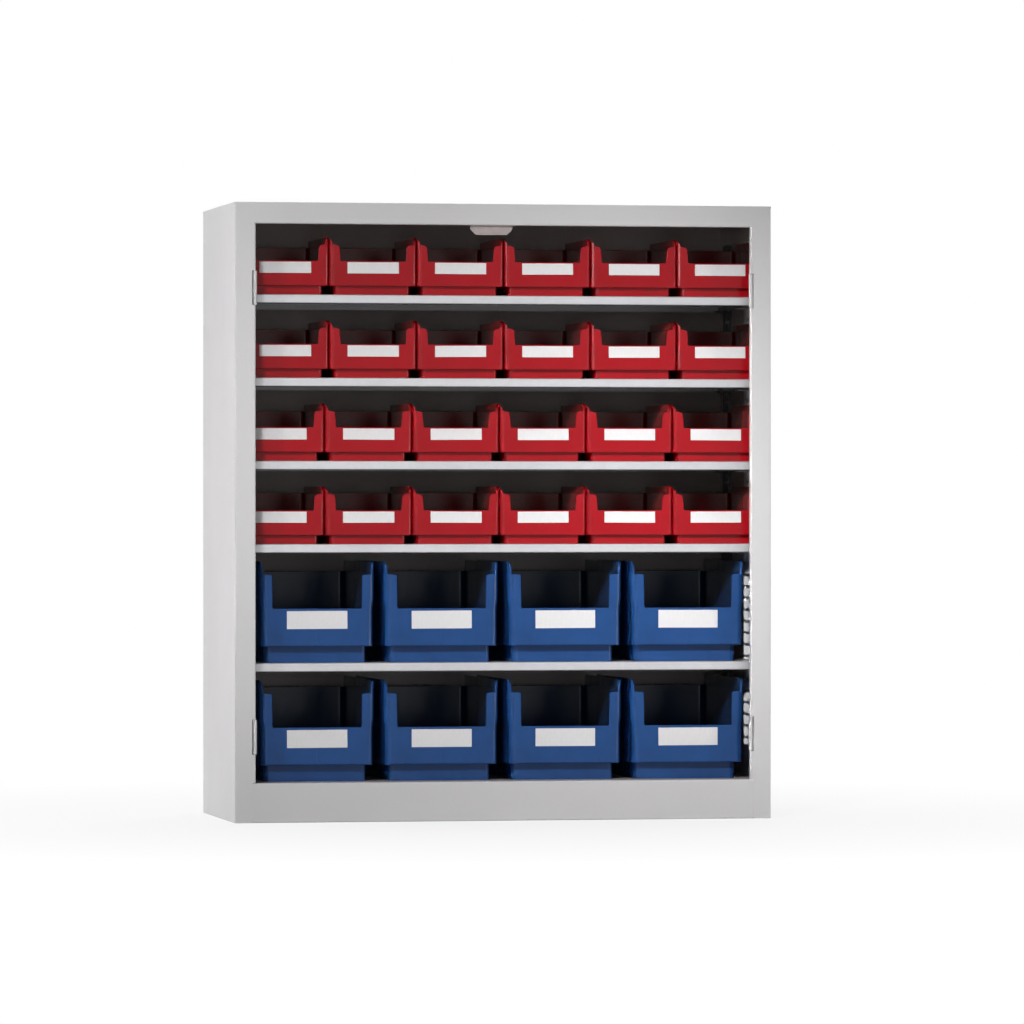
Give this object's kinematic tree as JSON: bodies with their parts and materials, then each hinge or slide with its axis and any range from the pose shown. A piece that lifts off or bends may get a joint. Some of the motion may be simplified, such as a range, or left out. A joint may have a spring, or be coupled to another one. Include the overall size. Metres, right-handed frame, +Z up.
{
  "type": "parts bin cabinet",
  "caption": "Open-fronted sheet-steel parts cabinet with rehangable shelves and rows of pull-out, open-fronted plastic bins with label pockets for small parts.",
  "frame": {"origin": "middle of the base, on the floor", "axes": "+Z up, front towards -Y, +X to the right seen from the front"},
  "size_m": [0.69, 0.285, 0.78],
  "materials": {
    "cabinet_paint": "satin powder coat",
    "galvanised_sheet": "bright galvanised",
    "zinc_plate": "bright zinc",
    "keeper_plastic": "moulded, matte",
    "red_plastic": "moulded, semi-gloss",
    "blue_plastic": "moulded, semi-gloss"
  },
  "bodies": {
    "cabinet": {"left_side_panel": "cabinet_paint", "right_side_panel": "cabinet_paint", "top_panel": "cabinet_paint", "floor_panel": "cabinet_paint", "back_panel": "cabinet_paint", "front_strip_left": "zinc_plate", "front_strip_right": "zinc_plate", "rear_strip_left": "zinc_plate", "rear_strip_right": "zinc_plate", "shelf_1": "galvanised_sheet", "shelf_2": "galvanised_sheet", "shelf_3": "galvanised_sheet", "shelf_4": "galvanised_sheet", "shelf_5": "galvanised_sheet", "shelf_clips_1": "zinc_plate", "shelf_clips_2": "zinc_plate", "shelf_clips_3": "zinc_plate", "shelf_clips_4": "zinc_plate", "shelf_clips_5": "zinc_plate", "lock_keeper": "keeper_plastic", "keeper_rivets": "zinc_plate", "upper_hinge_left": "cabinet_paint", "upper_hinge_right": "cabinet_paint", "lower_hinge_left": "cabinet_paint", "lower_hinge_right": "cabinet_paint", "hinge_pins": "zinc_plate"},
    "red_bin_1_1": {"red_bin_1_1": "red_plastic"},
    "red_bin_1_2": {"red_bin_1_2": "red_plastic"},
    "red_bin_1_3": {"red_bin_1_3": "red_plastic"},
    "red_bin_1_4": {"red_bin_1_4": "red_plastic"},
    "red_bin_1_5": {"red_bin_1_5": "red_plastic"},
    "red_bin_1_6": {"red_bin_1_6": "red_plastic"},
    "red_bin_2_1": {"red_bin_2_1": "red_plastic"},
    "red_bin_2_2": {"red_bin_2_2": "red_plastic"},
    "red_bin_2_3": {"red_bin_2_3": "red_plastic"},
    "red_bin_2_4": {"red_bin_2_4": "red_plastic"},
    "red_bin_2_5": {"red_bin_2_5": "red_plastic"},
    "red_bin_2_6": {"red_bin_2_6": "red_plastic"},
    "red_bin_3_1": {"red_bin_3_1": "red_plastic"},
    "red_bin_3_2": {"red_bin_3_2": "red_plastic"},
    "red_bin_3_3": {"red_bin_3_3": "red_plastic"},
    "red_bin_3_4": {"red_bin_3_4": "red_plastic"},
    "red_bin_3_5": {"red_bin_3_5": "red_plastic"},
    "red_bin_3_6": {"red_bin_3_6": "red_plastic"},
    "red_bin_4_1": {"red_bin_4_1": "red_plastic"},
    "red_bin_4_2": {"red_bin_4_2": "red_plastic"},
    "red_bin_4_3": {"red_bin_4_3": "red_plastic"},
    "red_bin_4_4": {"red_bin_4_4": "red_plastic"},
    "red_bin_4_5": {"red_bin_4_5": "red_plastic"},
    "red_bin_4_6": {"red_bin_4_6": "red_plastic"},
    "blue_bin_5_1": {"blue_bin_5_1": "blue_plastic"},
    "blue_bin_5_2": {"blue_bin_5_2": "blue_plastic"},
    "blue_bin_5_3": {"blue_bin_5_3": "blue_plastic"},
    "blue_bin_5_4": {"blue_bin_5_4": "blue_plastic"},
    "blue_bin_6_1": {"blue_bin_6_1": "blue_plastic"},
    "blue_bin_6_2": {"blue_bin_6_2": "blue_plastic"},
    "blue_bin_6_3": {"blue_bin_6_3": "blue_plastic"},
    "blue_bin_6_4": {"blue_bin_6_4": "blue_plastic"}
  },
  "joints": [
    {"name": "red_bin_1_1_slide", "type": "slide", "parent": "cabinet", "child": "red_bin_1_1", "axis": [0, -1, 0], "range_m": [-0.09, 0.015]},
    {"name": "red_bin_1_2_slide", "type": "slide", "parent": "cabinet", "child": "red_bin_1_2", "axis": [0, -1, 0], "range_m": [-0.09, 0.195]},
    {"name": "red_bin_1_3_slide", "type": "slide", "parent": "cabinet", "child": "red_bin_1_3", "axis": [0, -1, 0], "range_m": [-0.09, 0.195]},
    {"name": "red_bin_1_4_slide", "type": "slide", "parent": "cabinet", "child": "red_bin_1_4", "axis": [0, -1, 0], "range_m": [-0.09, 0.195]},
    {"name": "red_bin_1_5_slide", "type": "slide", "parent": "cabinet", "child": "red_bin_1_5", "axis": [0, -1, 0], "range_m": [-0.09, 0.195]},
    {"name": "red_bin_1_6_slide", "type": "slide", "parent": "cabinet", "child": "red_bin_1_6", "axis": [0, -1, 0], "range_m": [-0.09, 0.015]},
    {"name": "red_bin_2_1_slide", "type": "slide", "parent": "cabinet", "child": "red_bin_2_1", "axis": [0, -1, 0], "range_m": [-0.09, 0.015]},
    {"name": "red_bin_2_2_slide", "type": "slide", "parent": "cabinet", "child": "red_bin_2_2", "axis": [0, -1, 0], "range_m": [-0.09, 0.195]},
    {"name": "red_bin_2_3_slide", "type": "slide", "parent": "cabinet", "child": "red_bin_2_3", "axis": [0, -1, 0], "range_m": [-0.09, 0.195]},
    {"name": "red_bin_2_4_slide", "type": "slide", "parent": "cabinet", "child": "red_bin_2_4", "axis": [0, -1, 0], "range_m": [-0.09, 0.195]},
    {"name": "red_bin_2_5_slide", "type": "slide", "parent": "cabinet", "child": "red_bin_2_5", "axis": [0, -1, 0], "range_m": [-0.09, 0.195]},
    {"name": "red_bin_2_6_slide", "type": "slide", "parent": "cabinet", "child": "red_bin_2_6", "axis": [0, -1, 0], "range_m": [-0.09, 0.015]},
    {"name": "red_bin_3_1_slide", "type": "slide", "parent": "cabinet", "child": "red_bin_3_1", "axis": [0, -1, 0], "range_m": [-0.09, 0.015]},
    {"name": "red_bin_3_2_slide", "type": "slide", "parent": "cabinet", "child": "red_bin_3_2", "axis": [0, -1, 0], "range_m": [-0.09, 0.195]},
    {"name": "red_bin_3_3_slide", "type": "slide", "parent": "cabinet", "child": "red_bin_3_3", "axis": [0, -1, 0], "range_m": [-0.09, 0.195]},
    {"name": "red_bin_3_4_slide", "type": "slide", "parent": "cabinet", "child": "red_bin_3_4", "axis": [0, -1, 0], "range_m": [-0.09, 0.195]},
    {"name": "red_bin_3_5_slide", "type": "slide", "parent": "cabinet", "child": "red_bin_3_5", "axis": [0, -1, 0], "range_m": [-0.09, 0.195]},
    {"name": "red_bin_3_6_slide", "type": "slide", "parent": "cabinet", "child": "red_bin_3_6", "axis": [0, -1, 0], "range_m": [-0.09, 0.015]},
    {"name": "red_bin_4_1_slide", "type": "slide", "parent": "cabinet", "child": "red_bin_4_1", "axis": [0, -1, 0], "range_m": [-0.09, 0.015]},
    {"name": "red_bin_4_2_slide", "type": "slide", "parent": "cabinet", "child": "red_bin_4_2", "axis": [0, -1, 0], "range_m": [-0.09, 0.195]},
    {"name": "red_bin_4_3_slide", "type": "slide", "parent": "cabinet", "child": "red_bin_4_3", "axis": [0, -1, 0], "range_m": [-0.09, 0.195]},
    {"name": "red_bin_4_4_slide", "type": "slide", "parent": "cabinet", "child": "red_bin_4_4", "axis": [0, -1, 0], "range_m": [-0.09, 0.195]},
    {"name": "red_bin_4_5_slide", "type": "slide", "parent": "cabinet", "child": "red_bin_4_5", "axis": [0, -1, 0], "range_m": [-0.09, 0.195]},
    {"name": "red_bin_4_6_slide", "type": "slide", "parent": "cabinet", "child": "red_bin_4_6", "axis": [0, -1, 0], "range_m": [-0.09, 0.015]},
    {"name": "blue_bin_5_1_slide", "type": "slide", "parent": "cabinet", "child": "blue_bin_5_1", "axis": [0, -1, 0], "range_m": [-0.02, 0.265]},
    {"name": "blue_bin_5_2_slide", "type": "slide", "parent": "cabinet", "child": "blue_bin_5_2", "axis": [0, -1, 0], "range_m": [-0.02, 0.265]},
    {"name": "blue_bin_5_3_slide", "type": "slide", "parent": "cabinet", "child": "blue_bin_5_3", "axis": [0, -1, 0], "range_m": [-0.02, 0.265]},
    {"name": "blue_bin_5_4_slide", "type": "slide", "parent": "cabinet", "child": "blue_bin_5_4", "axis": [0, -1, 0], "range_m": [-0.02, 0.265]},
    {"name": "blue_bin_6_1_slide", "type": "slide", "parent": "cabinet", "child": "blue_bin_6_1", "axis": [0, -1, 0], "range_m": [-0.02, 0.265]},
    {"name": "blue_bin_6_2_slide", "type": "slide", "parent": "cabinet", "child": "blue_bin_6_2", "axis": [0, -1, 0], "range_m": [-0.02, 0.265]},
    {"name": "blue_bin_6_3_slide", "type": "slide", "parent": "cabinet", "child": "blue_bin_6_3", "axis": [0, -1, 0], "range_m": [-0.02, 0.265]},
    {"name": "blue_bin_6_4_slide", "type": "slide", "parent": "cabinet", "child": "blue_bin_6_4", "axis": [0, -1, 0], "range_m": [-0.02, 0.265]}
  ]
}
